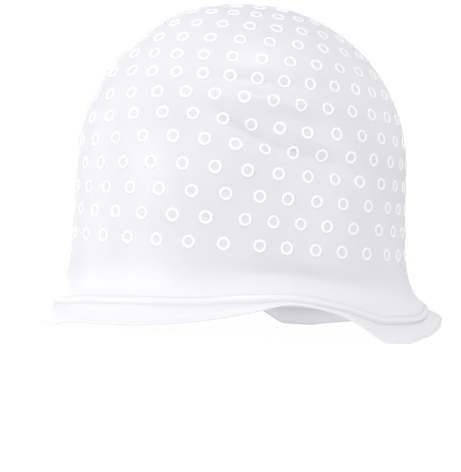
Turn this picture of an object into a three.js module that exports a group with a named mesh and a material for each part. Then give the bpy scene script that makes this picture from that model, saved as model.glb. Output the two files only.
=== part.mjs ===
// Highlighting cap: a one-piece moulded silicone cap that strands of hair are pulled through.
// Millimetres, +Z up. The forehead faces -Y, the nape +Y, and the cap is the same on both sides
// of X = 0. It stands on its lip, at the nape and at the two temple tabs, on Z = 0.
//
// The moulding is modelled by its zones, from the top down: crown_dome, side_wall, rim_bead,
// drip_lip and lip_edge. Each zone is a closed skin of its own, a hair's breadth from the next.
// A place on the cap is given by three numbers: turn, in degrees round the cap from the middle
// of the forehead; out, how far outside the dome's plan ellipse it lies; and z, its height.

import * as THREE from 'three';
import { mergeVertices } from 'three/addons/utils/BufferGeometryUtils.js';

// ---- Driving dimensions -------------------------------------------------------------------

const DOME_HALF_WIDTH = 84;      // outside, at the dome's widest level
const DOME_HALF_LENGTH = 100.8;
const DOME_HEIGHT = 98.8;        // from that level to the top
const DOME_BASE_Z = 96.5;        // height of that level
const DOME_POWER = 2.04;         // 2 is an ellipsoid; more is a squarer shoulder
const WALL_LEAN = 0.034;         // each mm below the dome, the wall stands this much further forward
const WALL_SPREAD = 0.02;        // and this much further out
const FLARE_HEIGHT = 35;         // the wall turns outward over this height above the bead
const FLARE_SHARE = 0.62;        // the part of the flare that is a long sweep
const FLARE_CREASE = 3.2;        // the rest is a crease this high, just above the bead

const SKIN = 0.8;                // wall thickness of the dome and side
const LIP_SKIN = 1.1;
const BEAD_HALF_HEIGHT = 2.3;
const BEAD_BULGE = 1.7;          // how far the bead stands out from the skin on either side of it
const BEAD_STEP = 1.5;           // the lip starts this much further out than the wall ends
const BEAD_INSET = 0.4;          // the bead's back stands this much deeper than the lip's
const LIP_HOLLOW = 0.12;         // the lip's line sags inward by this share of its height
const EDGE_RADIUS = 0.7;         // of the rolled free edge
const GAP = 0.3;                 // between neighbouring zones

// The rim round one side, from the middle of the forehead (turn 0) to the nape (turn 180): the
// height of the bead's middle and of the free edge, and how far out the two of them lie.
const RIM = [
  { turn: 0, beadZ: 21.5, beadOut: 13.2, edgeZ: 15, edgeOut: 24.2 },
  { turn: 14, beadZ: 20, beadOut: 13.2, edgeZ: 13, edgeOut: 23.8 },
  { turn: 30, beadZ: 14.4, beadOut: 12.2, edgeZ: 6, edgeOut: 21.5 },    // front of the temple tab
  { turn: 44, beadZ: 13, beadOut: 10.8, edgeZ: 1.8, edgeOut: 18.7 },
  { turn: 50, beadZ: 12.9, beadOut: 9.9, edgeZ: 0, edgeOut: 17.2 },     // temple tab
  { turn: 57, beadZ: 13.1, beadOut: 8.5, edgeZ: 0, edgeOut: 14.6 },     // its rear corner
  { turn: 66, beadZ: 17, beadOut: 6.5, edgeZ: 8.4, edgeOut: 9.5 },
  { turn: 76, beadZ: 20.6, beadOut: 5, edgeZ: 16.2, edgeOut: 7.4 },
  { turn: 90, beadZ: 23.8, beadOut: 4, edgeZ: 20, edgeOut: 6.4 },       // over the ear
  { turn: 104, beadZ: 22.5, beadOut: 4.5, edgeZ: 14.2, edgeOut: 8 },
  { turn: 120, beadZ: 19.4, beadOut: 6.5, edgeZ: 8.3, edgeOut: 12 },    // behind the ear
  { turn: 140, beadZ: 17.8, beadOut: 7.6, edgeZ: 4.3, edgeOut: 14.7 },
  { turn: 160, beadZ: 16, beadOut: 9, edgeZ: 3.2, edgeOut: 16.6 },
  { turn: 174, beadZ: 14.2, beadOut: 9.9, edgeZ: 0, edgeOut: 17.5 },
  { turn: 180, beadZ: 14, beadOut: 10, edgeZ: 0, edgeOut: 17.6 },       // nape
];

const DOME_SEGMENTS = 60;
const RIM_SEGMENTS = 72;
const DOME_STEPS = 10;
const WALL_STEPS = 7;
const BEAD_STEPS = 5;
const LIP_STEPS = 3;
const EDGE_SIDES = 8;

// ---- The cap's shape ----------------------------------------------------------------------

// One column of RIM at any turn: a cubic through the rows that never overshoots them.
function rimValue(column, turn) {
  const t = Math.abs(((turn + 540) % 360) - 180);
  const secant = (i) => (RIM[i + 1][column] - RIM[i][column]) / (RIM[i + 1].turn - RIM[i].turn);
  const slope = (i) => {
    if (i === 0 || i === RIM.length - 1) return 0;
    const [before, after] = [secant(i - 1), secant(i)];
    return before * after > 0 ? (2 * before * after) / (before + after) : 0;
  };
  const i = Math.min(RIM.findLastIndex((row) => row.turn <= t), RIM.length - 2);
  const span = RIM[i + 1].turn - RIM[i].turn;
  const u = (t - RIM[i].turn) / span;
  return RIM[i][column] * (1 + 2 * u) * (1 - u) ** 2
    + slope(i) * span * u * (1 - u) ** 2
    + RIM[i + 1][column] * u * u * (3 - 2 * u)
    + slope(i + 1) * span * u * u * (u - 1);
}

// The point at a turn, out and z. Nothing reaches below the surface that the cap stands on.
function place(turn, out, z) {
  const angle = THREE.MathUtils.degToRad(turn);
  const forward = WALL_LEAN * Math.max(DOME_BASE_Z - z, 0);
  return new THREE.Vector3(
    (DOME_HALF_WIDTH + out) * Math.sin(angle),
    -(DOME_HALF_LENGTH + out) * Math.cos(angle) - forward,
    Math.max(z, 0),
  );
}

// The dome at a climb of 0 (its base) to 90 degrees (its top), outside or a skin's depth inside.
function domePoint(turn, climb, depth) {
  const angle = THREE.MathUtils.degToRad(turn);
  const rise = THREE.MathUtils.degToRad(climb);
  const across = climb === 90 ? 0 : Math.cos(rise) ** (2 / DOME_POWER);
  const up = Math.sin(rise) ** (2 / DOME_POWER);
  return new THREE.Vector3(
    (DOME_HALF_WIDTH - depth) * across * Math.sin(angle),
    -(DOME_HALF_LENGTH - depth) * across * Math.cos(angle),
    DOME_BASE_Z + (DOME_HEIGHT - depth) * up,
  );
}

// How far out the side wall lies at a height: a slight spread, then a flare that meets the bead.
function wallOut(turn, z) {
  const foot = rimValue('beadZ', turn) + BEAD_HALF_HEIGHT;
  const above = Math.max(z - foot, 0);
  const sweep = FLARE_SHARE * Math.max(1 - above / FLARE_HEIGHT, 0) ** 2;
  const crease = (1 - FLARE_SHARE) * Math.exp(-above / FLARE_CREASE);
  const footFlare = rimValue('beadOut', turn) - WALL_SPREAD * (DOME_BASE_Z - foot);
  return WALL_SPREAD * (DOME_BASE_Z - z) + footFlare * (sweep + crease);
}

// How far out the lip lies, at a share of the way down from the bead to the free edge.
function lipOut(turn, share) {
  const start = rimValue('beadOut', turn) + BEAD_STEP;
  const sag = LIP_HOLLOW * lipHeight(turn) * 4 * share * (1 - share);
  return start + (rimValue('edgeOut', turn) - start) * share - sag;
}

function lipHeight(turn) {
  return rimValue('beadZ', turn) - BEAD_HALF_HEIGHT - rimValue('edgeZ', turn) - EDGE_RADIUS;
}

// A skin that slopes needs more thickness sideways than one that stands upright.
function sideways(thickness, run, rise) {
  return thickness * Math.hypot(1, run / rise);
}

// ---- Closed bodies ------------------------------------------------------------------------

// A closed body that goes all the way round the cap. outline(turn) gives its section at a turn,
// always with the same number of points: down the outside and then back up the inside. A section
// that closes on the dome's axis is left open; any other joins its last point to its first.
function revolve(outline, segments, closesOnAxis) {
  const count = outline(0).length + (closesOnAxis ? 0 : 1);
  const strip = Array.from({ length: count }, (_, i) => new THREE.Vector2(1, i));
  const geometry = new THREE.LatheGeometry(strip, segments);
  const position = geometry.attributes.position;
  for (let s = 0; s <= segments; s += 1) {
    const points = outline((360 * (s % segments)) / segments);
    for (let i = 0; i < count; i += 1) {
      const { x, y, z } = points[(count - 1 - i) % points.length];
      position.setXYZ(s * count + i, x, y, z);
    }
  }
  geometry.deleteAttribute('normal');
  geometry.deleteAttribute('uv');
  const merged = mergeVertices(geometry, 1e-4);
  const index = merged.index.array;
  const kept = [];
  for (let i = 0; i < index.length; i += 3) {
    const [a, b, c] = [index[i], index[i + 1], index[i + 2]];
    if (a !== b && b !== c && c !== a) kept.push(a, b, c);
  }
  merged.setIndex(kept);
  merged.computeVertexNormals();
  return merged;
}

function steps(count) {
  return Array.from({ length: count + 1 }, (_, i) => i / count);
}

// ---- Zones, from the top down -------------------------------------------------------------

function crownDome() {
  const climbs = steps(DOME_STEPS).map((share) => 90 * share);
  const outline = (turn) => [
    ...climbs.map((climb) => domePoint(turn, climb, 0)).reverse(),
    ...climbs.map((climb) => domePoint(turn, climb, SKIN)),
  ];
  return revolve(outline, DOME_SEGMENTS, true);
}

function sideWall() {
  const outline = (turn) => {
    const top = DOME_BASE_Z - GAP;
    const foot = rimValue('beadZ', turn) + BEAD_HALF_HEIGHT;
    // Closer steps towards the foot, where the flare is.
    const heights = steps(WALL_STEPS).map((share) => foot + (top - foot) * (1 - share) ** 2);
    const spread = (z) => wallOut(turn, z) - wallOut(turn, z + 1);    // outward, per mm down
    const inside = (z) => wallOut(turn, z) - sideways(SKIN, spread(z), 1);
    return [
      ...heights.map((z) => place(turn, wallOut(turn, z), z)),
      ...heights.map((z) => place(turn, inside(z), z)).reverse(),
    ];
  };
  return revolve(outline, RIM_SEGMENTS, false);
}

function rimBead() {
  const outline = (turn) => {
    const middle = rimValue('beadZ', turn);
    const out = rimValue('beadOut', turn);
    const half = BEAD_HALF_HEIGHT - GAP;
    const bulge = steps(BEAD_STEPS).map((share) => {
      const stand = BEAD_STEP * share + BEAD_BULGE * Math.sin(Math.PI * share);
      return place(turn, out + stand, middle + half * (1 - 2 * share));
    });
    return [
      ...bulge,
      place(turn, out + BEAD_STEP - LIP_SKIN - BEAD_INSET, middle - half),
      place(turn, out - LIP_SKIN, middle + half),
    ];
  };
  return revolve(outline, RIM_SEGMENTS, false);
}

function dripLip() {
  const outline = (turn) => {
    const start = rimValue('beadZ', turn) - BEAD_HALF_HEIGHT;
    const end = rimValue('edgeZ', turn) + 2 * EDGE_RADIUS + GAP;
    const run = lipOut(turn, 1) - lipOut(turn, 0);
    const width = sideways(LIP_SKIN, run, lipHeight(turn));
    const shares = steps(LIP_STEPS);
    const height = (share) => start + (end - start) * share;
    return [
      ...shares.map((share) => place(turn, lipOut(turn, share), height(share))),
      ...shares.map((share) => place(turn, lipOut(turn, share) - width, height(share))).reverse(),
    ];
  };
  return revolve(outline, RIM_SEGMENTS, false);
}

function lipEdge() {
  const outline = (turn) => {
    const out = rimValue('edgeOut', turn);
    const middle = rimValue('edgeZ', turn) + EDGE_RADIUS;
    const radius = EDGE_RADIUS / Math.cos(Math.PI / EDGE_SIDES);
    // Going round from the inner side of the top flat, outward and down.
    return Array.from({ length: EDGE_SIDES }, (_, i) => {
      const angle = Math.PI / 2 + Math.PI / EDGE_SIDES - (2 * Math.PI * i) / EDGE_SIDES;
      return place(turn, out + radius * Math.cos(angle), middle + radius * Math.sin(angle));
    });
  };
  return revolve(outline, RIM_SEGMENTS, false);
}

// ---- The scene ----------------------------------------------------------------------------

function silicone(colour, roughness) {
  return new THREE.MeshStandardMaterial({ color: colour, roughness, metalness: 0 });
}

function zone(name, geometry, colour, roughness) {
  const mesh = new THREE.Mesh(geometry, silicone(colour, roughness));
  mesh.name = name;
  return mesh;
}

const cap = new THREE.Group();
cap.add(
  zone('crown_dome', crownDome(), 0xeeeef4, 0.42),
  zone('side_wall', sideWall(), 0xebebf2, 0.42),
  zone('rim_bead', rimBead(), 0xf2f2f6, 0.4),
  zone('drip_lip', dripLip(), 0xe9e9f0, 0.42),
  zone('lip_edge', lipEdge(), 0xf2f2f6, 0.4),
);

// The origin is below the middle of the cap's outer size, and not below the dome's axis.
const middle = new THREE.Box3().setFromObject(cap).getCenter(new THREE.Vector3());
cap.position.set(0, -middle.y, 0);

export default cap;
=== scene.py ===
"""Highlighting cap: the finished looks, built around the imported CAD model.

The cap's shape is worked out in millimetres, in the frame of the CAD model: +Z up, the forehead
at -Y, the nape at +Y, standing on Z = 0. A place on the skin is given by its turn, in degrees
round the cap from the middle of the forehead, and by its climb: 90 at the top of the dome, 0 at
the dome's base, and below 0 down the side wall, where a degree is as long as on the dome.
"""

import math

import bpy
import numpy as np
from mathutils import Matrix, Vector


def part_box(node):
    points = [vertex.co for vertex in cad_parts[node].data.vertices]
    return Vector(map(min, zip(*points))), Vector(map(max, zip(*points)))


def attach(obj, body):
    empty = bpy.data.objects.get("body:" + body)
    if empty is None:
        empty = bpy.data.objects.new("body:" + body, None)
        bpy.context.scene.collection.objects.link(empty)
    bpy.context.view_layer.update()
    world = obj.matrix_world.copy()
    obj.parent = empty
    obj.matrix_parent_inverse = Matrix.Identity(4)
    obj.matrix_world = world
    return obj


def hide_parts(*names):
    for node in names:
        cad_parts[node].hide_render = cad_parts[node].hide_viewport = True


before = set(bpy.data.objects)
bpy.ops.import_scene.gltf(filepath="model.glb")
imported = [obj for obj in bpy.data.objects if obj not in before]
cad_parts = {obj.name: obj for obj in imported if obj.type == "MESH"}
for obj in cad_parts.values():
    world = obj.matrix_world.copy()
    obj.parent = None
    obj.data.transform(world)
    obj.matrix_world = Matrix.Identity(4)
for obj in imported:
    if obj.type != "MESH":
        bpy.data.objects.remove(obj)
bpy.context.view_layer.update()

MM = 0.001

# ---- The cap's shape, in millimetres ----------------------------------------------------------

DOME_LOW, DOME_HIGH = [np.array(corner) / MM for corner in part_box("crown_dome")]
HALF_WIDTH, HALF_LENGTH = (DOME_HIGH - DOME_LOW)[:2] / 2
AXIS_Y = (DOME_LOW + DOME_HIGH)[1] / 2
BASE_Z = DOME_LOW[2]
DOME_HEIGHT = DOME_HIGH[2] - BASE_Z
DEGREE = math.radians(DOME_HEIGHT)    # length of a degree of climb

DOME_POWER = 2.04
WALL_LEAN = 0.034
WALL_SPREAD = 0.02
FLARE_HEIGHT = 35
FLARE_SHARE = 0.62
FLARE_CREASE = 3.2

SKIN = 0.8
LIP_SKIN = 1.1
BEAD_HALF_HEIGHT = 2.3
BEAD_STEP = 1.5          # the lip's outer face starts this much further out than the wall ends
BEAD_STAND_FRONT = 1.9   # how far the bead's rounded face swells out, up to the temples
BEAD_STAND_BACK = 0.9    # and behind them
BEAD_SOFT_TURNS = (48, 86)   # turns between which the first becomes the second
BEAD_FOOT_STEP = 1.1     # the bead's foot lies this much further out than its top
GROOVE_DEPTH = 0.18      # of the fine groove under the bead
GROOVE_REACH = 0.7
LIP_HOLLOW = 0.12        # the lip's outer face is hollow by this share of its fall
EDGE_RADIUS = 0.7
EDGE_ROLL = 0.82         # half the thickness of the rolled edge, which is thicker than the lip
# The soft lip wavers in and out: waves round the cap, phase in degrees and height of each.
LIP_RIPPLES = [(5, 40, 0.3), (13, 0, 0.18)]

# The rim round one side: turn, height of the bead's middle, how far out it lies, and the same of
# the lip's free edge.
RIM = np.array([
    (0, 21.5, 13.2, 15, 24.2),
    (14, 20, 13.2, 13, 23.8),
    (30, 14.4, 12.2, 6, 21.5),
    (44, 13, 10.8, 1.8, 18.7),
    (50, 12.9, 9.9, 0, 17.2),
    (57, 13.1, 8.5, 0, 14.6),
    (66, 17, 6.5, 8.4, 9.5),
    (76, 20.6, 5, 16.2, 7.4),
    (90, 23.8, 4, 20, 6.4),
    (104, 22.5, 4.5, 14.2, 8),
    (120, 19.4, 6.5, 8.3, 12),
    (140, 17.8, 7.6, 4.3, 14.7),
    (160, 16, 9, 3.2, 16.6),
    (174, 14.2, 9.9, 0, 17.5),
    (180, 14, 10, 0, 17.6),
], float)
BEAD_Z, BEAD_OUT, EDGE_Z, EDGE_OUT = 1, 2, 3, 4

TURN_STEPS = 480
DOME_STEPS = 64
WALL_STEPS = 52
WALL_CROWDING = 1.6      # the steps of the wall grow finer towards the bead
BEAD_STEPS = 14
BEAD_FACE = (12, 168)    # degrees round the bead from its top edge, which the face spans
LIP_STEPS = 16
LIP_CROWDING = 1.4       # the steps of the lip grow finer towards the bead
EDGE_SIDES = 14


def rim_value(column, turn):
    """A column of RIM at any turn: a cubic through the rows that never overshoots them."""
    knots, values = RIM[:, 0], RIM[:, column]
    side_turn = np.abs((np.asarray(turn, float) + 180) % 360 - 180)
    secants = np.diff(values) / np.diff(knots)
    before, after = secants[:-1], secants[1:]
    same_way = before * after > 0
    total = np.where(same_way, before + after, 1)
    slopes = np.zeros(len(knots))
    slopes[1:-1] = np.where(same_way, 2 * before * after / total, 0)
    i = np.clip(np.searchsorted(knots, side_turn, side="right") - 1, 0, len(knots) - 2)
    span = knots[i + 1] - knots[i]
    u = (side_turn - knots[i]) / span
    return (
        values[i] * (1 + 2 * u) * (1 - u) ** 2
        + slopes[i] * span * u * (1 - u) ** 2
        + values[i + 1] * u * u * (3 - 2 * u)
        + slopes[i + 1] * span * u * u * (u - 1)
    )


def foot_z(turn):
    """The height of the wall's foot, on the bead."""
    return rim_value(BEAD_Z, turn) + BEAD_HALF_HEIGHT


def level_length(climb):
    """The length of a degree of turn, at a climb."""
    return np.radians(HALF_LENGTH) * np.cos(np.radians(np.maximum(climb, 0)))


def turned_from(turn, start):
    """The turn from a start, the short way round."""
    return (turn - start + 180) % 360 - 180


def place(turn, out, z):
    """The point that far outside the dome's plan ellipse, at a height."""
    angle = np.radians(turn)
    forward = WALL_LEAN * np.maximum(BASE_Z - z, 0)
    x = (HALF_WIDTH + out) * np.sin(angle)
    y = AXIS_Y - (HALF_LENGTH + out) * np.cos(angle) - forward
    return np.stack(np.broadcast_arrays(x, y, z), -1)


def wall_out(turn, z):
    """How far out the side wall lies: a slight spread, then a flare that meets the bead."""
    foot = foot_z(turn)
    above = np.maximum(z - foot, 0)
    sweep = FLARE_SHARE * np.maximum(1 - above / FLARE_HEIGHT, 0) ** 2
    crease = (1 - FLARE_SHARE) * np.exp(-above / FLARE_CREASE)
    foot_flare = rim_value(BEAD_OUT, turn) - WALL_SPREAD * (BASE_Z - foot)
    return WALL_SPREAD * (BASE_Z - z) + foot_flare * (sweep + crease)


def smooth_skin(turn, climb, depth=0.0):
    """A point on the dome or side wall with no dents, that deep inside the outer face."""
    rise = np.radians(np.clip(climb, 0, 90))
    across = np.cos(rise) ** (2 / DOME_POWER) * (climb < 90)
    angle = np.radians(turn)
    dome = np.stack(np.broadcast_arrays(
        (HALF_WIDTH - depth) * across * np.sin(angle),
        AXIS_Y - (HALF_LENGTH - depth) * across * np.cos(angle),
        BASE_Z + (DOME_HEIGHT - depth) * np.sin(rise) ** (2 / DOME_POWER),
    ), -1)
    z = BASE_Z + np.minimum(climb, 0) * DEGREE
    out = wall_out(turn, z)
    slope = out - wall_out(turn, z + 1)
    wall = place(turn, out - depth * np.hypot(1, slope), z)
    return np.where((np.asarray(climb) >= 0)[..., None], dome, wall)


# ---- Dents and waves: the skin is soft, and stands a little out of true -------------------------

# Each dent: turn and climb of its middle, its half-length and half-width along the skin, the
# slant of its length in degrees from level, and how far it moves the skin out.
DENTS = [
    (-97, 28, 38, 5.5, -3, -1.9),    # the hollow above an old fold
    (-99, 21, 36, 5.0, -4, 4.5),     # the fold's ridge across the crown
    (-84, 14.5, 24, 5, -14, -1.4),   # the hollow under it
    (-104, 11.5, 21, 7.2, -26, -6.2),  # the trough that runs down from it, to the temple
    (-82, 3.5, 32, 7.0, -14, -4.6),
    (-130, -8, 34, 30, 0, 2.2),      # the full side behind the ear
    (-90, -13, 34, 9, -24, -1.4),
    (-82, -36, 46, 6.2, -5, -3.9),   # the waist above the ear
    (-152, -34, 12, 7, 10, -0.6),
    (-50, -12, 9, 26, 0, 0.6),
    (-62, 26, 16, 12, 30, 0.6),
    (84, 12, 30, 7, 18, -2.4),
    (92, 24, 30, 6, 6, 1.8),
    (116, -14, 28, 26, 0, 1.4),
    (60, -30, 14, 24, 0, -0.8),
    (84, -37, 40, 7, 0, -1.5),
    (160, 28, 22, 10, -20, -1.4),
    (20, 20, 20, 12, 15, -0.8),
]
# Fine upright wrinkles: turn and climb of the middle of a patch, its half-width and half-height
# along the skin, the wrinkles' pitch, and how deep they are.
WRINKLES = [
    (-58, -14, 20, 15, 5.5, 0.09),
    (-74, -22, 14, 10, 7.5, 0.08),
    (-38, 2, 12, 18, 6.0, 0.07),
    (64, -12, 22, 16, 6.5, 0.08),
    (170, -20, 26, 14, 8.0, 0.07),
]
WRINKLE_SWAY = 1.4         # the wrinkles sway from side to side on their way down
WRINKLE_SWAY_LENGTH = 9
WAVE_COUNT = 7
WAVE_SEED = 7
WAVE_LENGTHS = (55, 120)
WAVE_HEIGHT = 0.16
FADE_HEIGHT = 12      # dents and waves fade out over this height above the bead


def waves():
    """Seeded long waves that run through the whole skin: direction times pitch, and phase."""
    random = np.random.default_rng(WAVE_SEED)
    directions = random.normal(size=(WAVE_COUNT, 3))
    directions /= np.linalg.norm(directions, axis=1)[:, None]
    lengths = random.uniform(*WAVE_LENGTHS, size=WAVE_COUNT)
    phases = random.uniform(0, 2 * math.pi, WAVE_COUNT)
    return directions * (2 * math.pi / lengths)[:, None], phases


WAVES = waves()


def dent(points):
    """How far out the skin is pushed at these undented points."""
    x = points[..., 0] / HALF_WIDTH
    y = (points[..., 1] - AXIS_Y) / HALF_LENGTH
    up = (points[..., 2] - BASE_Z) / DOME_HEIGHT
    turn = np.degrees(np.arctan2(x, -y))
    climb = np.degrees(np.where(up > 0, np.arcsin(np.clip(up, 0, 1)), up))
    level = level_length(climb)
    total = np.zeros(turn.shape)
    for dent_turn, dent_climb, half_length, half_width, slant, push in DENTS:
        across = turned_from(turn, dent_turn) * level
        along = (climb - dent_climb) * DEGREE
        c, s = math.cos(math.radians(slant)), math.sin(math.radians(slant))
        u = (across * c + along * s) / half_length
        v = (along * c - across * s) / half_width
        total += push * np.exp(-(u * u + v * v))
    for wrinkle_turn, wrinkle_climb, half_width, half_height, pitch, depth in WRINKLES:
        across = turned_from(turn, wrinkle_turn) * level
        along = (climb - wrinkle_climb) * DEGREE
        sway = WRINKLE_SWAY * np.sin(along / WRINKLE_SWAY_LENGTH) + across / half_width
        weave = np.sin(2 * math.pi * across / pitch + sway)
        total += depth * weave * np.exp(-(across / half_width) ** 2 - (along / half_height) ** 2)
    for wave, phase in zip(*WAVES):
        total += WAVE_HEIGHT * np.sin(points @ wave + phase)
    return total * np.clip((points[..., 2] - foot_z(turn)) / FADE_HEIGHT, 0, 1)


def outward(points):
    """The way out of the cap at these points: level on the wall, square to the dome above it."""
    way = np.stack([
        points[..., 0] / HALF_WIDTH ** 2,
        (points[..., 1] - AXIS_Y) / HALF_LENGTH ** 2,
        np.maximum(points[..., 2] - BASE_Z, 0) / DOME_HEIGHT ** 2,
    ], -1)
    return way / np.linalg.norm(way, axis=-1, keepdims=True)


def dented(points):
    """These points of the smooth skin, moved to where the soft skin stands."""
    return points + outward(points) * dent(points)[..., None]


def skin_point(turn, climb):
    """A point on the outer face of the soft skin."""
    return dented(smooth_skin(turn, climb))


# ---- Mesh building ----------------------------------------------------------------------------

SHARP_ANGLE = math.radians(55)


def mesh_object(name, points, faces, materials, face_materials=None):
    """A smooth-shaded mesh from points in millimetres."""
    mesh = bpy.data.meshes.new(name)
    mesh.from_pydata((np.asarray(points) * MM).tolist(), [], faces)
    for material in materials:
        mesh.materials.append(material)
    if face_materials is not None:
        mesh.polygons.foreach_set("material_index", face_materials)
    mesh.polygons.foreach_set("use_smooth", [True] * len(mesh.polygons))
    mesh.set_sharp_from_angle(angle=SHARP_ANGLE)
    mesh.update()
    piece = bpy.data.objects.new(name, mesh)
    bpy.context.scene.collection.objects.link(piece)
    return piece


def wrapped(name, sections, materials):
    """A closed body from an array of sections round the cap: (turns, points per section, 3).
    Where all the sections share a first and last point, those are the body's two poles."""
    turns, count, _ = sections.shape
    has_poles = all(np.allclose(sections[:, end], sections[0, end]) for end in (0, -1))
    body = sections[:, 1:-1] if has_poles else sections
    rows = body.shape[1]
    points = body.reshape(-1, 3)
    faces = []
    for i in range(turns):
        j = (i + 1) % turns
        for k in range(rows - 1 if has_poles else rows):
            m = (k + 1) % rows
            faces.append((i * rows + k, i * rows + m, j * rows + m, j * rows + k))
    if has_poles:
        top, bottom = len(points), len(points) + 1
        points = np.vstack([points, sections[0, 0], sections[0, -1]])
        for i in range(turns):
            j = (i + 1) % turns
            faces.append((top, i * rows, j * rows))
            faces.append((bottom, j * rows + rows - 1, i * rows + rows - 1))
    return mesh_object(name, points, faces, materials)


def shares(steps):
    """Even steps from 0 to 1."""
    return np.linspace(0, 1, steps + 1)


def eased(value, start, end):
    """0 up to the start, 1 from the end on, and an S-curve between them."""
    share = np.clip((value - start) / (end - start), 0, 1)
    return share * share * (3 - 2 * share)


def turns():
    """Every turn of a fine body, as a column, so that it meets a row of places down the cap."""
    return np.linspace(-180, 180, TURN_STEPS, endpoint=False)[:, None]


# ---- The cap's bodies -------------------------------------------------------------------------

def crown_and_side(material):
    """The dome and the side wall, down to the bead."""
    turn = turns()
    dome_climb, dome_turn = np.broadcast_arrays(90 * (1 - shares(DOME_STEPS))[None], turn)
    foot_climb = (foot_z(turn) - BASE_Z) / DEGREE
    wall_climb = foot_climb * (1 - (1 - shares(WALL_STEPS)[1:]) ** WALL_CROWDING)[None]
    climbs = np.concatenate([dome_climb, wall_climb], 1)
    outside = dented(smooth_skin(turn, climbs))
    inside = dented(smooth_skin(turn, climbs, SKIN))
    return wrapped("cap_crown_and_side", np.concatenate([outside, inside[:, ::-1]], 1), [material])


def lip_line(turn, share):
    """Out and z of the middle of the lip's skin, from the bead (0) to the free edge (1)."""
    start_out = rim_value(BEAD_OUT, turn) + BEAD_STEP - LIP_SKIN / 2
    start_z = rim_value(BEAD_Z, turn) - BEAD_HALF_HEIGHT
    end_out = rim_value(EDGE_OUT, turn)
    for count, phase, height in LIP_RIPPLES:
        end_out = end_out + height * np.sin(np.radians(count * turn + phase))
    end_z = rim_value(EDGE_Z, turn) + EDGE_RADIUS
    sag = LIP_HOLLOW * (start_z - end_z) * 4 * share * (1 - share)
    return start_out + (end_out - start_out) * share - sag, start_z + (end_z - start_z) * share


def lip_face(turn, share, side):
    """The outer (side 1) or inner (side -1) face of the lip, with the groove at its top."""
    out, z = lip_line(turn, share)
    step = 0.01
    out_next, z_next = lip_line(turn, share + step)
    run, fall = out_next - out, z - z_next
    length = np.hypot(run, fall)
    below = share * length / step
    half = side * LIP_SKIN / 2 - (side > 0) * GROOVE_DEPTH * np.exp(-below / GROOVE_REACH)
    return place(turn, out + half * fall / length, np.maximum(z + half * run / length, 0))


def drip_lip(material):
    """The thin lip, from the groove under the bead to its free edge."""
    turn = turns()
    share = (shares(LIP_STEPS) ** LIP_CROWDING)[None]
    outside = lip_face(turn, share, 1)
    inside = lip_face(turn, share, -1)
    return wrapped("drip_lip_skirt", np.concatenate([outside, inside[:, ::-1]], 1), [material])


def rim_bead(material):
    """The round bead, between the foot of the wall and the top of the lip."""
    turn = turns()
    height = np.cos(np.radians(np.linspace(*BEAD_FACE, BEAD_STEPS + 1)))[None]
    softness = eased(np.abs(turn), *BEAD_SOFT_TURNS)
    stand = BEAD_STAND_FRONT + softness * (BEAD_STAND_BACK - BEAD_STAND_FRONT)
    swelling = stand * (1 + np.cos(math.pi * height)) / 2
    out = rim_value(BEAD_OUT, turn) + BEAD_FOOT_STEP * (1 - height) / 2 + swelling
    face = place(turn, out, rim_value(BEAD_Z, turn) + BEAD_HALF_HEIGHT * height)
    wall_foot = (foot_z(turn) - BASE_Z) / DEGREE
    top = dented(smooth_skin(turn, wall_foot))
    top_inside = dented(smooth_skin(turn, wall_foot, SKIN))
    bottom = lip_face(turn, np.zeros((1, 1)), 1)
    bottom_inside = lip_face(turn, np.zeros((1, 1)), -1)
    section = [top, face, bottom, bottom_inside, (bottom_inside + top_inside) / 2, top_inside]
    return wrapped("rim_bead_roll", np.concatenate(section, 1), [material])


def lip_edge(material):
    """The free edge of the lip, rolled a little thicker than the lip."""
    turn = turns()
    out, z = lip_line(turn, 1)
    angle = np.linspace(0, 2 * math.pi, EDGE_SIDES, endpoint=False)[None]
    height = np.maximum(z - EDGE_ROLL * np.sin(angle), 0)
    roll = place(turn, out + EDGE_ROLL * np.cos(angle), height)
    return wrapped("lip_edge_roll", roll, [material])


# ---- Rings ------------------------------------------------------------------------------------

# Each row: its height at the middle of the cap, the rings in it, and where the first lies, in
# shares of their pitch from the middle of the forehead.
RING_ROWS = [
    (51.3, 32, 0.87),
    (65.2, 32, 0.36),
    (78.5, 32, 0.91),
    (91.9, 32, 0.57),
    (105.2, 32, 0.15),
    (118.2, 32, 0.66),
    (131.3, 32, 0.32),
    (144.8, 32, 0.8),
    (156.3, 28, 0.1),
    (167.3, 24, 0.53),
    (176.5, 22, 0.43),
    (184.8, 20, 0.27),
    (190.6, 13, 0.5),
    (194.0, 7, 0.2),
]
ROW_TILT = 1.0           # degrees: the rows rise towards the nape
# Where the skin has stretched and taken its rings along: turn and climb of the middle, half-width
# and half-height along the skin, and how far the rings have moved, in the way of a greater turn
# and up.
DRIFTS = [
    (-130, 12, 42, 30, 2.4, 4.4),
    (-84, 14, 22, 14, -2.8, -1.6),
    (-104, -20, 13, 18, 4.5, 0.3),
    (-70, -18, 16, 16, -2.0, -0.3),
    (-50, -20, 10, 14, 2.6, 0.0),
    (-158, 34, 18, 14, 2.5, 1.5),
    (96, 6, 34, 30, -2.2, 2.6),
    (40, 30, 24, 18, 1.8, -1.4),
    (170, -14, 26, 20, 2.0, 1.8),
]
RING_SECTION = [         # out from the ring's middle, height above the skin
    (3.84, -0.25),
    (3.79, 0.02),
    (3.7, 0.14),
    (3.56, 0.34),
    (3.34, 0.49),
    (3.06, 0.54),
    (2.76, 0.46),
    (2.52, 0.26),
    (2.36, 0.07),
    (1.6, 0.05),
    (0.85, 0.05),
    (0.62, 0.14),
    (0.42, 0.12),
    (0.25, 0.0),
    (0.0, -0.06),
]
MEMBRANE_FROM = 8        # the section's thin, clearer middle starts here
RING_SIDES = 28
RING_SEED = 21
SIZE_SPREAD = 0.03       # no two rings are quite the same size, height or roundness
HEIGHT_SPREAD = 0.12
PLAN_STEPS = 1441        # steps round the plan when its length is measured
CLIMB_ROUNDS = 12        # rounds of the search for a row's climb
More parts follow.
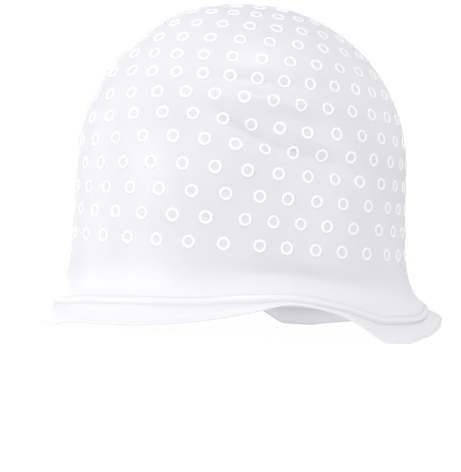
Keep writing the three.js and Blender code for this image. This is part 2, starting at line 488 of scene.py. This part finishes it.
MOST_LIFT = 0.9995       # keeps that search below the top of the dome
PROBE = 3.0              # the skin's lie under a ring is taken this far from its middle


def plan_arc():
    """Turns and the share of the plan ellipse's length from the forehead to each."""
    turn = np.linspace(0, 360, PLAN_STEPS)
    angle = np.radians(turn)
    line = np.stack([HALF_WIDTH * np.sin(angle), HALF_LENGTH * np.cos(angle)], -1)
    length = np.concatenate([[0], np.cumsum(np.linalg.norm(np.diff(line, axis=0), axis=1))])
    return turn, length / length[-1]


def climb_at(turn, level):
    """The climb at which the skin is that high, allowing for the tilt of the rows."""
    climb = np.zeros_like(turn)
    for _ in range(CLIMB_ROUNDS):
        y = smooth_skin(turn, climb)[:, 1] - AXIS_Y
        height = level + y * math.tan(math.radians(ROW_TILT)) - BASE_Z
        lift = np.clip(height / DOME_HEIGHT, 0, MOST_LIFT) ** (DOME_POWER / 2)
        climb = np.where(height > 0, np.degrees(np.arcsin(lift)), height / DEGREE)
    return climb


def drifted(turn, climb):
    """Where the rings that were moulded at these places have moved to."""
    new_turn, new_climb = turn.copy(), climb.copy()
    for drift_turn, drift_climb, half_width, half_height, push_turn, push_climb in DRIFTS:
        across = turned_from(turn, drift_turn) * level_length(climb)
        along = (climb - drift_climb) * DEGREE
        share = np.exp(-(across / half_width) ** 2 - (along / half_height) ** 2)
        new_turn += share * push_turn / level_length(climb)
        new_climb += share * push_climb / DEGREE
    return new_turn, new_climb


def settled(points, normal):
    """Points close to the skin, moved along this normal until they lie on it."""
    x, y, z = np.moveaxis(points, -1, 0)
    below = np.minimum(z - BASE_Z, 0)
    across = x / HALF_WIDTH
    behind = (y - AXIS_Y - WALL_LEAN * below) / HALF_LENGTH
    up = np.maximum(z - BASE_Z, 0) / DOME_HEIGHT
    rise = np.arctan2(up ** (DOME_POWER / 2), np.hypot(across, behind) ** (DOME_POWER / 2))
    climb = np.where(z > BASE_Z, np.degrees(rise), below / DEGREE)
    on_skin = skin_point(np.degrees(np.arctan2(across, -behind)), climb)
    return points + ((on_skin - points) @ normal)[..., None] * normal


def ring_frames(turn, climb):
    """Under each ring: the skin's outer face, the ways across and along it, and its normal."""
    turn_step = PROBE / level_length(climb)
    climb_step = PROBE / DEGREE
    middle = skin_point(turn, climb)
    across = skin_point(turn + turn_step, climb) - skin_point(turn - turn_step, climb)
    along = skin_point(turn, climb + climb_step) - skin_point(turn, climb - climb_step)
    across /= np.linalg.norm(across, axis=1)[:, None]
    normal = np.cross(across, along)
    normal /= np.linalg.norm(normal, axis=1)[:, None]
    return middle, across, np.cross(normal, across), normal


def ring_faces(start):
    """The faces of a ring whose points start there, and which material each of them has."""
    faces, face_materials = [], []
    circles = len(RING_SECTION) - 1
    last = start + (circles - 1) * RING_SIDES
    pin = start + circles * RING_SIDES
    root = pin + 1
    for a in range(RING_SIDES):
        b = (a + 1) % RING_SIDES
        for circle in range(circles - 1):
            low = start + circle * RING_SIDES
            high = low + RING_SIDES
            faces.append((low + a, low + b, high + b, high + a))
            face_materials.append(int(circle >= MEMBRANE_FROM))
        faces.append((last + a, last + b, pin))
        face_materials.append(1)
        faces.append((start + b, start + a, root))
        face_materials.append(0)
    return faces, face_materials


def ring_row(index, level, count, first, random, materials):
    """One row of rings, as one piece. Each ring follows the curve of the skin under it."""
    arc_turn, arc_share = plan_arc()
    turn = np.interp(((np.arange(count) + first) / count) % 1, arc_share, arc_turn)
    turn, climb = drifted(turn, climb_at(turn, level))
    section = np.array(RING_SECTION)
    radius, rise = section[:-1, 0, None], section[:-1, 1, None, None]
    angle = np.linspace(0, 2 * math.pi, RING_SIDES, endpoint=False)
    points, faces, face_materials = [], [], []
    for middle, across, along, normal in zip(*ring_frames(turn, climb)):
        size = 1 + random.uniform(-SIZE_SPREAD, SIZE_SPREAD)
        height = 1 + random.uniform(-HEIGHT_SPREAD, HEIGHT_SPREAD)
        stretch = 1 + random.uniform(-SIZE_SPREAD, SIZE_SPREAD)
        u = radius * size * stretch * np.cos(angle)
        v = radius * size / stretch * np.sin(angle)
        flat = middle + u[..., None] * across + v[..., None] * along
        shell = settled(flat, normal) + rise * height * normal
        new_faces, new_materials = ring_faces(len(points))
        faces.extend(new_faces)
        face_materials.extend(new_materials)
        points.extend(shell.reshape(-1, 3))
        points.append(middle + section[-1, 1] * normal)
        points.append(middle + section[0, 1] * normal)
    return mesh_object(f"ring_row_{index:02d}", points, faces, materials, face_materials)


# ---- Materials --------------------------------------------------------------------------------

# Colours of each kind of silicone: its cloudy and its clearer tone.
SKIN_TONES = (0.74, 0.738, 0.768), (0.78, 0.778, 0.803)
THICK_TONES = (0.815, 0.812, 0.835), (0.845, 0.842, 0.863)
RING_TONES = (0.95, 0.94, 0.965), (0.97, 0.96, 0.985)
MEMBRANE_TONES = (0.745, 0.735, 0.77), (0.775, 0.765, 0.8)
# Painted light: the skin's colour turns to this white towards the bead, standing in for the
# brighter light on the flare and lip.
PAINTED_RIM_LIGHT = (0.82, 0.817, 0.84)
PAINTED_RIM_LIGHT_FROM, PAINTED_RIM_LIGHT_FULL = 0.042, 0.024    # heights between which the skin turns whiter

NOISE_MIDDLE = (0.3, 0.7)       # most of a noise's values lie between these
TONE_MIDDLE = (0.32, 0.68)
TONE_SCALE = 14                 # noise scales, per metre
GLOSS_SCALE = 30
GRAIN_SCALE = 2600
UNEVEN_SCALE = 160
STREAK_SCALE = 150
STREAK_STRETCH = (1, 1, 0.12)
GRAIN_DEPTH = 0.00002
UNEVEN_DEPTH = 0.00006
LESS_ROUGH, MORE_ROUGH = -0.05, 0.06
SILICONE_IOR = 1.41
SCATTER_RADIUS = (1.0, 0.92, 0.95)
SCATTER_SCALE = 0.0006
SHEEN_COAT, SHEEN_COAT_ROUGHNESS = 0.08, 0.3


def node_material(name):
    """A new material: itself, its nodes and links, its shader and the object's coordinates."""
    material = bpy.data.materials.new(name)
    material.use_nodes = True
    nodes, links = material.node_tree.nodes, material.node_tree.links
    shader = nodes["Principled BSDF"]
    coordinates = nodes.new("ShaderNodeTexCoord")
    return material, nodes, links, shader, coordinates.outputs["Object"]


def noise(nodes, links, where, scale, detail=3.0, stretch=(1, 1, 1)):
    """A noise's value."""
    mapping = nodes.new("ShaderNodeMapping")
    mapping.inputs["Scale"].default_value = [scale * s for s in stretch]
    links.new(where, mapping.inputs["Vector"])
    texture = nodes.new("ShaderNodeTexNoise")
    texture.inputs["Scale"].default_value = 1.0
    texture.inputs["Detail"].default_value = detail
    links.new(mapping.outputs["Vector"], texture.inputs["Vector"])
    return texture.outputs["Fac"]


def spread(nodes, links, value, low, high):
    """A noise value, spread from low to high."""
    ramp = nodes.new("ShaderNodeMapRange")
    ramp.inputs["From Min"].default_value = NOISE_MIDDLE[0]
    ramp.inputs["From Max"].default_value = NOISE_MIDDLE[1]
    ramp.inputs["To Min"].default_value = low
    ramp.inputs["To Max"].default_value = high
    links.new(value, ramp.inputs["Value"])
    return ramp.outputs["Result"]


def blended(nodes, links, value, tones):
    """A colour between two tones, by a noise's value."""
    ramp = nodes.new("ShaderNodeValToRGB")
    for element, position, tone in zip(ramp.color_ramp.elements, TONE_MIDDLE, tones):
        element.position = position
        element.color = (*tone, 1)
    links.new(value, ramp.inputs["Fac"])
    return ramp.outputs["Color"]


def bumped(nodes, links, height, distance, under=None):
    """A normal with a relief of that depth, over another relief if one is given."""
    bump = nodes.new("ShaderNodeBump")
    bump.inputs["Strength"].default_value = 1
    bump.inputs["Distance"].default_value = distance
    links.new(height, bump.inputs["Height"])
    if under is not None:
        links.new(under, bump.inputs["Normal"])
    return bump.outputs["Normal"]


def painted_light_below(nodes, links, where, colour):
    """The colour, painted whiter towards the bead: painted light standing in for the brighter light
    on the flare and lip.
    """
    split = nodes.new("ShaderNodeSeparateXYZ")
    links.new(where, split.inputs["Vector"])
    share = nodes.new("ShaderNodeMapRange")
    share.interpolation_type = "SMOOTHSTEP"
    share.inputs["From Min"].default_value = PAINTED_RIM_LIGHT_FROM
    share.inputs["From Max"].default_value = PAINTED_RIM_LIGHT_FULL
    links.new(split.outputs["Z"], share.inputs["Value"])
    mix = nodes.new("ShaderNodeMix")
    mix.data_type = "RGBA"
    links.new(share.outputs["Result"], mix.inputs["Factor"])
    colour_inputs = [socket for socket in mix.inputs if socket.type == "RGBA"]
    links.new(colour, colour_inputs[0])
    colour_inputs[1].default_value = (*PAINTED_RIM_LIGHT, 1)
    return [socket for socket in mix.outputs if socket.type == "RGBA"][0]


def silicone(name, tones, roughness, scatter, painted_rim_light=False):
    """Milky silicone: a cloudy and a clearer tone, and a satin face with a fine moulded grain."""
    material, nodes, links, shader, where = node_material(name)
    colour = blended(nodes, links, noise(nodes, links, where, TONE_SCALE), tones)
    # Painted light: the colour is painted whiter towards the bead.
    if painted_rim_light:
        colour = painted_light_below(nodes, links, where, colour)
    links.new(colour, shader.inputs["Base Color"])
    patches = noise(nodes, links, where, GLOSS_SCALE, 4)
    gloss = spread(nodes, links, patches, roughness + LESS_ROUGH, roughness + MORE_ROUGH)
    links.new(gloss, shader.inputs["Roughness"])
    grain = noise(nodes, links, where, GRAIN_SCALE, 2)
    uneven = noise(nodes, links, where, UNEVEN_SCALE, 3)
    streaks = noise(nodes, links, where, STREAK_SCALE, 2, STREAK_STRETCH)
    normal = bumped(nodes, links, grain, GRAIN_DEPTH)
    normal = bumped(nodes, links, uneven, UNEVEN_DEPTH, under=normal)
    normal = bumped(nodes, links, streaks, UNEVEN_DEPTH, under=normal)
    links.new(normal, shader.inputs["Normal"])
    shader.inputs["IOR"].default_value = SILICONE_IOR
    shader.inputs["Subsurface Weight"].default_value = scatter
    shader.inputs["Subsurface Radius"].default_value = SCATTER_RADIUS
    shader.inputs["Subsurface Scale"].default_value = SCATTER_SCALE
    shader.inputs["Coat Weight"].default_value = SHEEN_COAT
    shader.inputs["Coat Roughness"].default_value = SHEEN_COAT_ROUGHNESS
    return material


# ---- Building ---------------------------------------------------------------------------------

def build_cap():
    """All the pieces, what each rides on, and the CAD nodes that it stands for."""
    # The skin gets painted light: its colour is whiter towards the bead.
    skin_material = silicone("milky_silicone", SKIN_TONES, roughness=0.42, scatter=0.85,
                             painted_rim_light=True)
    thick_material = silicone("thick_silicone", THICK_TONES, roughness=0.4, scatter=0.4)
    ring_material = silicone("ring_silicone", RING_TONES, roughness=0.4, scatter=0.3)
    membrane_material = silicone("membrane_silicone", MEMBRANE_TONES, roughness=0.4, scatter=0.3)
    parts = [
        (crown_and_side(skin_material), "silicone_skin", ["crown_dome", "side_wall"]),
        (rim_bead(thick_material), "silicone_thick", ["rim_bead"]),
        (drip_lip(skin_material), "silicone_skin", ["drip_lip"]),
        (lip_edge(skin_material), "silicone_thick", ["lip_edge"]),
    ]
    random = np.random.default_rng(RING_SEED)
    for index, (level, count, first) in enumerate(RING_ROWS, 1):
        row = ring_row(index, level, count, first, random, [ring_material, membrane_material])
        parts.append((row, "silicone_thick", []))
    for piece, slot, nodes in parts:
        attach(piece, "root")
        if nodes:
            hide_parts(*nodes)


# ---- Stage, lights and camera -----------------------------------------------------------------

CAMERA_AZIMUTH = 251
CAMERA_ELEVATION = 0.33
CAMERA_ROLL = 3.15
CAMERA_DISTANCE = 1.062
CAMERA_LENS = 135
SENSOR_WIDTH = 36
CLIP_NEAR, CLIP_FAR = 0.05, 60
AIM = Vector((0.0009, 0.0110, 0.056))

LIGHT_AIM = Vector((0, 0, 0.1))
# Each softbox: azimuth from the camera's, elevation, distance, width, height and power.
SOFTBOXES = {
    "key": (-53, 7, 1.6, 0.9, 0.5, 8.6),
    "top": (22, 66, 1.5, 0.4, 0.4, 5.2),
    "side": (-100, 8, 1.8, 0.6, 1.0, 3.5),
    "fill": (50, 8, 2.0, 1.0, 1.4, 7.6),
    "bounce": (0, -55, 1.6, 1.2, 1.2, 4.4),
    "back": (194, 14, 2.2, 1.4, 1.0, 8),
}
ROOM_LIGHT = (0.98, 0.98, 1.0, 1)
ROOM_STRENGTH = 0.67

FLOOR_RADIUS = 7.9
FLOOR_GLOW = 0.93
FLOOR_ALBEDO = 0.16
SKY_RADIUS = 8
SKY_GLOW = 1.05


def around(azimuth, elevation):
    """Unit vector from the cap towards a place at that azimuth and elevation."""
    a, e = math.radians(azimuth), math.radians(elevation)
    return Vector((math.sin(a) * math.cos(e), -math.cos(a) * math.cos(e), math.sin(e)))


def aimed(obj, direction, distance, aim, roll=0.0):
    """Puts a camera or light that far from aim, looking at it. Roll turns it about its own axis."""
    back = direction.normalized()
    right = Vector((0, 0, 1)).cross(back).normalized()
    up = back.cross(right)
    obj.matrix_world = Matrix((right, up, back)).transposed().to_4x4()
    obj.matrix_world @= Matrix.Rotation(math.radians(roll), 4, "Z")
    obj.matrix_world.translation = aim + direction * distance


def add_camera():
    """The camera of the main picture."""
    camera = bpy.data.objects.new("camera", bpy.data.cameras.new("camera"))
    bpy.context.scene.collection.objects.link(camera)
    camera.data.lens = CAMERA_LENS
    camera.data.sensor_width = SENSOR_WIDTH
    camera.data.clip_start = CLIP_NEAR
    camera.data.clip_end = CLIP_FAR
    aimed(camera, around(CAMERA_AZIMUTH, CAMERA_ELEVATION), CAMERA_DISTANCE, AIM, CAMERA_ROLL)
    bpy.context.scene.camera = camera


def softbox(name, azimuth, elevation, distance, width, height, power):
    """A rectangular lamp that far from the cap, facing it."""
    light = bpy.data.objects.new(name, bpy.data.lights.new(name, "AREA"))
    bpy.context.scene.collection.objects.link(light)
    light.data.shape = "RECTANGLE"
    light.data.size = width
    light.data.size_y = height
    light.data.energy = power
    aimed(light, around(CAMERA_AZIMUTH + azimuth, elevation), distance, LIGHT_AIM)


def glowing(name, strength, albedo=0):
    """A stage material: plain white light, with a matt face over it if an albedo is given."""
    material = bpy.data.materials.new(name)
    material.use_nodes = True
    shader = material.node_tree.nodes["Principled BSDF"]
    shader.inputs["Base Color"].default_value = (albedo, albedo, albedo, 1)
    shader.inputs["Roughness"].default_value = 1
    shader.inputs["Specular IOR Level"].default_value = 0
    shader.inputs["Emission Color"].default_value = (1, 1, 1, 1)
    shader.inputs["Emission Strength"].default_value = strength
    return material


def add_stage():
    """A pale floor, kept out of diffuse light and shadows, and a sky that only the camera sees."""
    bpy.ops.mesh.primitive_circle_add(vertices=96, radius=FLOOR_RADIUS, fill_type="NGON")
    floor = bpy.context.object
    floor.name = "floor"
    floor.data.materials.append(glowing("floor_white", FLOOR_GLOW, FLOOR_ALBEDO))
    floor.visible_diffuse = False
    floor.visible_shadow = False
    bpy.ops.mesh.primitive_uv_sphere_add(segments=64, ring_count=32, radius=SKY_RADIUS)
    sky = bpy.context.object
    sky.name = "sky"
    sky.data.materials.append(glowing("sky_white", SKY_GLOW))
    for ray in ("diffuse", "glossy", "transmission", "shadow", "volume_scatter"):
        setattr(sky, f"visible_{ray}", False)


def add_light():
    """Even light from the whole room, and the softboxes."""
    world = bpy.data.worlds.new("studio")
    bpy.context.scene.world = world
    world.use_nodes = True
    background = world.node_tree.nodes["Background"]
    background.inputs["Color"].default_value = ROOM_LIGHT
    background.inputs["Strength"].default_value = ROOM_STRENGTH
    for name, values in SOFTBOXES.items():
        softbox(name, *values)
    bpy.context.scene.view_settings.view_transform = "Standard"


add_camera()
build_cap()
add_stage()
add_light()
